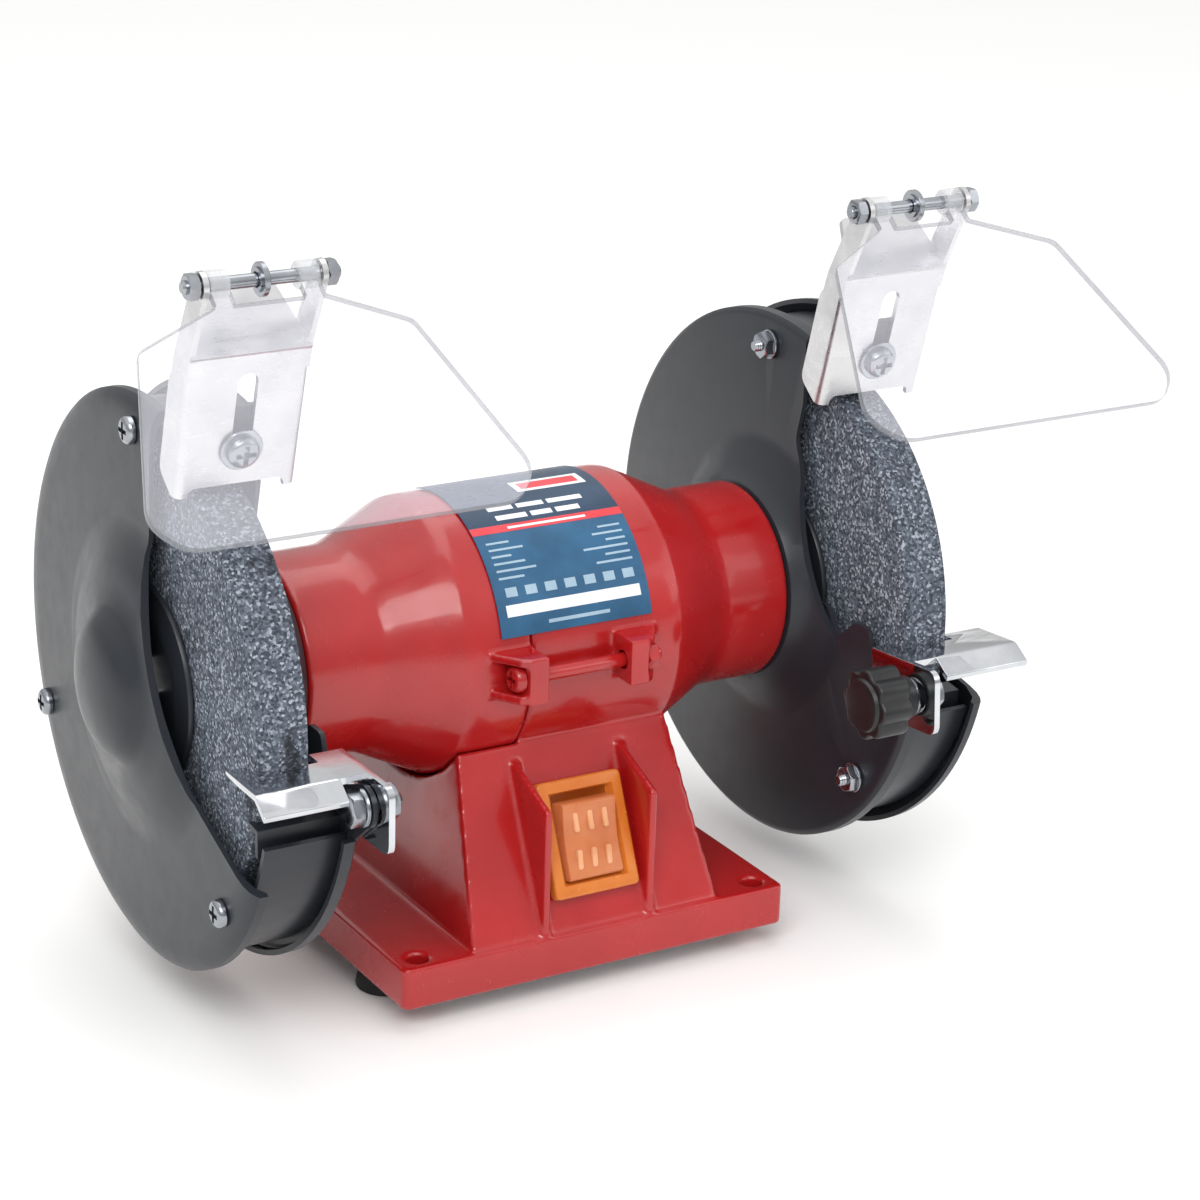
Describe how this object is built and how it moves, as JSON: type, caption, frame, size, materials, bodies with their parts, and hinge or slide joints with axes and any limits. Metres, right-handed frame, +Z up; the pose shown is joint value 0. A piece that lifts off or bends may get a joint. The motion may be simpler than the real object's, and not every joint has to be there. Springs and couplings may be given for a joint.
{
  "type": "bench grinder",
  "caption": "Bench grinder with a motor on a cast pedestal, guarded grinding wheels, adjustable tool rests, clear eye shields and a rocker switch.",
  "frame": {"origin": "on the bench under the middle of the whole grinder's bounding box", "axes": "+X along the spindle towards the user's right, -Y towards the user, +Z up"},
  "size_m": [0.3432, 0.2102, 0.247],
  "materials": {
    "red_enamel": "gloss red enamel on die-cast aluminium",
    "black_paint": "satin",
    "zinc": "bright",
    "steel": "satin",
    "iron_laminations": "matte",
    "copper": "satin",
    "abrasive": "rough, opaque vitrified grit",
    "clear_plastic": "clear",
    "black_plastic": "matte",
    "amber_plastic": "gloss",
    "rubber": "matte",
    "printed_film": "satin"
  },
  "bodies": {
    "frame": {"base_housing": "red_enamel", "left_end_bell": "red_enamel", "bottom_cover": "zinc", "foot_front_left": "rubber", "foot_front_right": "rubber", "foot_rear_right": "rubber", "foot_rear_left": "rubber", "stator_core": "iron_laminations", "winding_right": "copper", "winding_left": "copper", "bearing_right": "steel", "bearing_left": "steel", "capacitor": "zinc", "switch_housing": "amber_plastic", "cable_gland": "black_plastic", "through_bolt_front": "red_enamel", "through_bolt_rear": "red_enamel", "rating_label": "printed_film", "left_inner_guard": "black_paint", "left_outer_cover": "black_paint", "left_cover_screw_1": "zinc", "left_cover_screw_2": "zinc", "left_cover_screw_3": "zinc", "left_rest_bolt": "zinc", "left_rest_nut": "zinc", "left_bracket_screw": "zinc", "right_inner_guard": "black_paint", "right_outer_cover": "black_paint", "right_cover_screw_1": "zinc", "right_cover_screw_2": "zinc", "right_cover_screw_3": "zinc", "right_rest_bolt": "zinc", "right_bracket_screw": "zinc"},
    "spindle_set": {"spindle": "steel", "rotor_core": "iron_laminations", "left_wheel": "abrasive", "left_inner_flange": "black_paint", "left_outer_flange": "black_paint", "left_spindle_nut": "zinc", "right_wheel": "abrasive", "right_inner_flange": "black_paint", "right_outer_flange": "black_paint", "right_spindle_nut": "zinc"},
    "rocker": {"switch_rocker": "amber_plastic"},
    "left_rest_pivot": {"left_rest_washer": "zinc"},
    "left_rest": {"left_tool_rest": "zinc"},
    "left_bracket": {"left_shield_bracket": "zinc", "left_shield_rod": "zinc", "left_rod_nut": "zinc", "left_shield_clip": "zinc"},
    "left_shield": {"left_eye_shield": "clear_plastic"},
    "right_rest_pivot": {"right_rest_washer": "zinc"},
    "right_rest": {"right_tool_rest": "zinc"},
    "right_knob": {"right_rest_knob": "black_plastic"},
    "right_bracket": {"right_shield_bracket": "zinc", "right_shield_rod": "zinc", "right_rod_nut": "zinc", "right_shield_clip": "zinc"},
    "right_shield": {"right_eye_shield": "clear_plastic"}
  },
  "joints": [
    {"name": "spindle_spin", "type": "hinge", "parent": "frame", "child": "spindle_set", "pos_m": [0, 0.01512, 0.1054], "axis": [1, 0, 0], "continuous": true},
    {"name": "switch_rock", "type": "hinge", "parent": "frame", "child": "rocker", "pos_m": [0, -0.03218, 0.04717], "axis": [1, 0, 0], "range_deg": [-16, 0]},
    {"name": "left_rest_tilt", "type": "hinge", "parent": "frame", "child": "left_rest_pivot", "pos_m": [-0.0957, -0.07688, 0.094], "axis": [1, 0, 0], "range_deg": [-8, 20]},
    {"name": "left_rest_slide", "type": "slide", "parent": "left_rest_pivot", "child": "left_rest", "axis": [0, -1, 0], "range_m": [-0.001, 0.01]},
    {"name": "left_bracket_slide", "type": "slide", "parent": "frame", "child": "left_bracket", "axis": [0, -0.2605, 0.9655], "range_m": [-0.002, 0.002]},
    {"name": "left_shield_swing", "type": "hinge", "parent": "left_bracket", "child": "left_shield", "pos_m": [-0.112, -0.03838, 0.242], "axis": [1, 0, 0], "range_deg": [-110, 25]},
    {"name": "right_rest_tilt", "type": "hinge", "parent": "frame", "child": "right_rest_pivot", "pos_m": [0.0957, -0.07688, 0.094], "axis": [1, 0, 0], "range_deg": [-3, 25]},
    {"name": "right_rest_slide", "type": "slide", "parent": "right_rest_pivot", "child": "right_rest", "axis": [0, -0.9962, 0.0872], "range_m": [-0.001, 0.009]},
    {"name": "right_knob_turn", "type": "hinge", "parent": "frame", "child": "right_knob", "pos_m": [0.0857, -0.07688, 0.094], "axis": [1, 0, 0], "range_deg": [0, 360]},
    {"name": "right_bracket_slide", "type": "slide", "parent": "frame", "child": "right_bracket", "axis": [0, -0.2605, 0.9655], "range_m": [-0.002, 0.002]},
    {"name": "right_shield_swing", "type": "hinge", "parent": "right_bracket", "child": "right_shield", "pos_m": [0.112, -0.03838, 0.242], "axis": [1, 0, 0], "range_deg": [-110, 25]}
  ]
}
